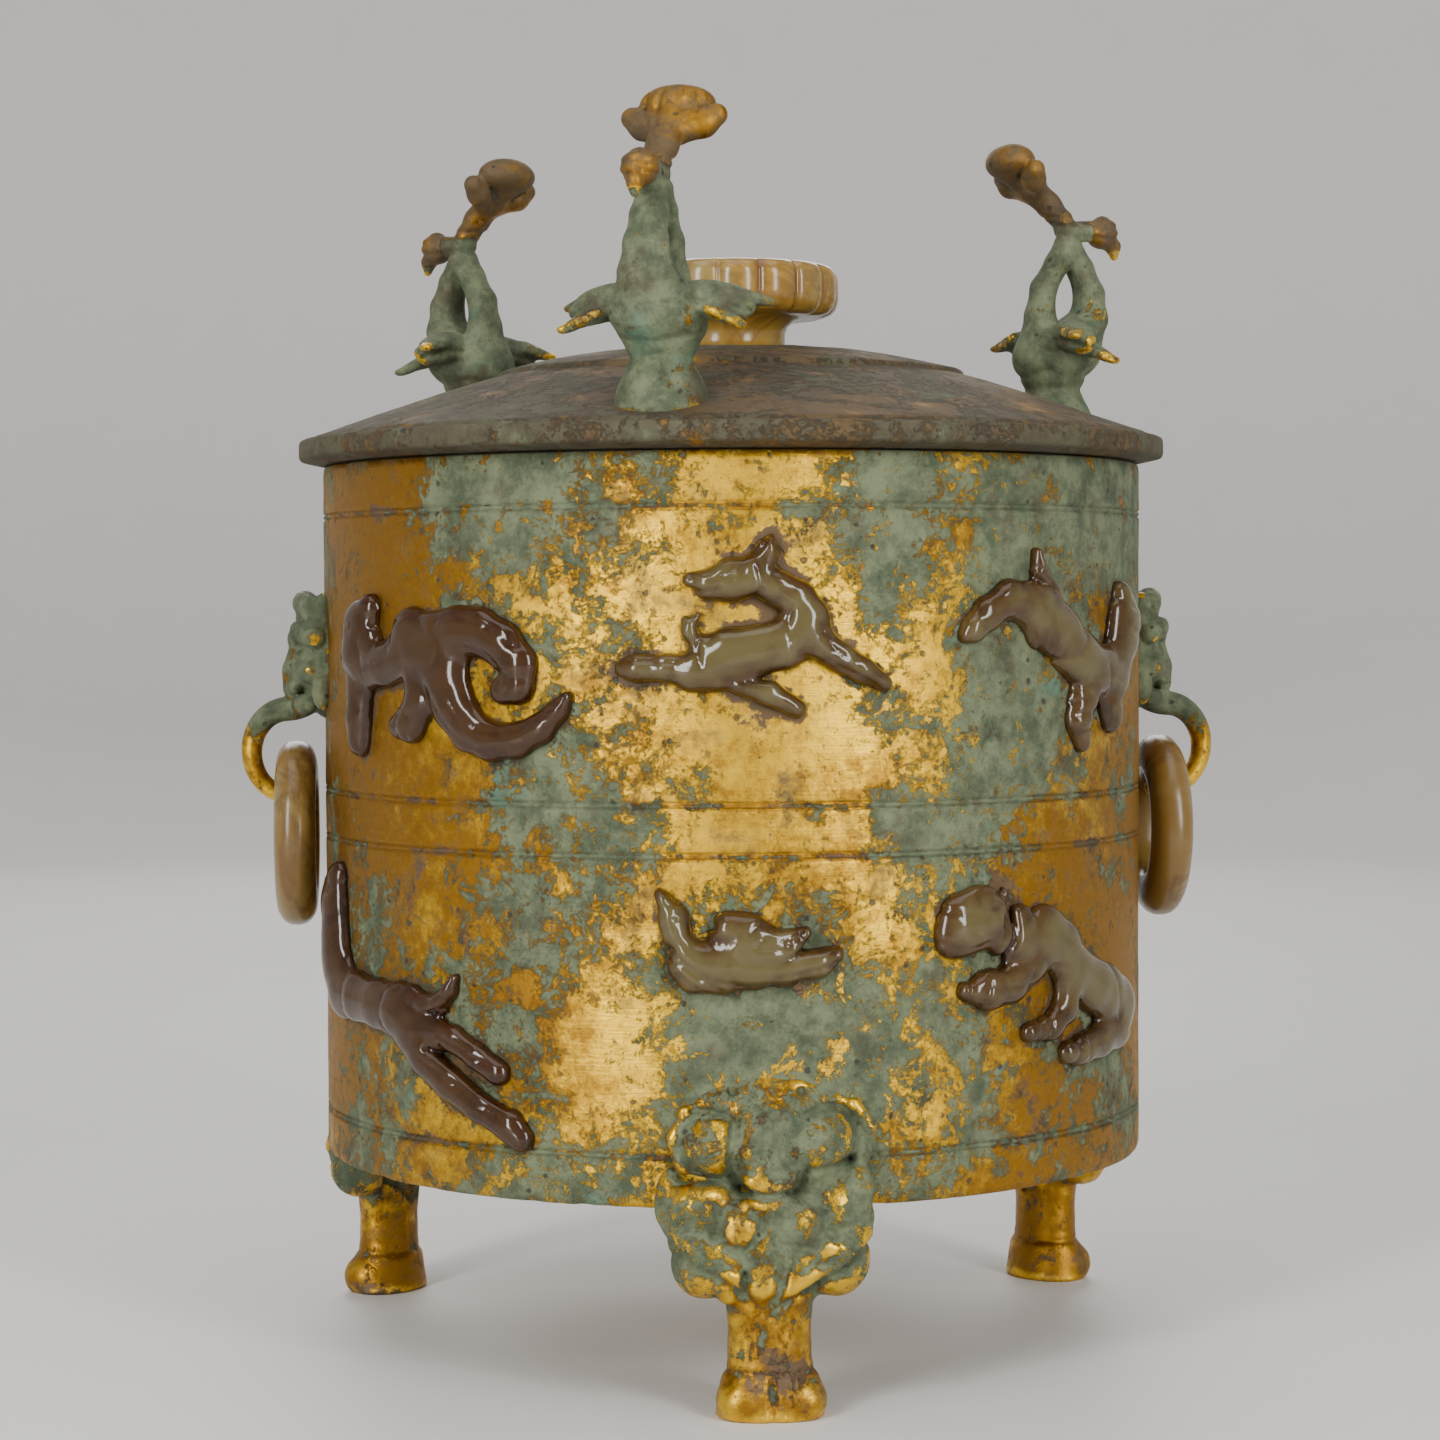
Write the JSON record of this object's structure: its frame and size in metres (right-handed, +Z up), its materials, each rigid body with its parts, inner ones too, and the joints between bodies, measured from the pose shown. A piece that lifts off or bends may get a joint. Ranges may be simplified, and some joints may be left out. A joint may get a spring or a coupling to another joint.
{
  "type": "gilt bronze tripod wine vessel with jade inlays",
  "caption": "Round gilt bronze wine vessel on bear legs, with a domed lid, standing birds, a jade knob, hooks with jade rings and jade beasts set on the wall.",
  "frame": {"origin": "on the vessel's axis, on the ground under its feet", "axes": "+Z up along the vessel's axis, -Y towards the front leg, +X to the right as one faces the front"},
  "size_m": [0.1932, 0.1723, 0.2361],
  "materials": {
    "gilt_bronze": "worn fire gilding with green patina",
    "green_bronze": "matt green and brown patina with traces of gilding",
    "honey_jade": "polished",
    "dark_jade": "polished"
  },
  "bodies": {
    "root": {"vessel_body": "gilt_bronze", "leg_front": "gilt_bronze", "leg_right": "gilt_bronze", "leg_left": "gilt_bronze", "handle_right": "green_bronze", "handle_left": "green_bronze", "ring_right": "honey_jade", "ring_left": "honey_jade", "lid": "green_bronze", "bird_front": "green_bronze", "bird_right": "green_bronze", "bird_left": "green_bronze", "knob": "honey_jade", "deer_front": "dark_jade", "deer_back": "dark_jade", "duck_front": "dark_jade", "duck_back": "dark_jade", "curled_beast_front": "dark_jade", "curled_beast_back": "dark_jade", "leaping_beast_front": "dark_jade", "leaping_beast_back": "dark_jade", "running_horse_front": "dark_jade", "running_horse_back": "dark_jade", "lion_front": "dark_jade", "lion_back": "dark_jade"}
  },
  "joints": []
}
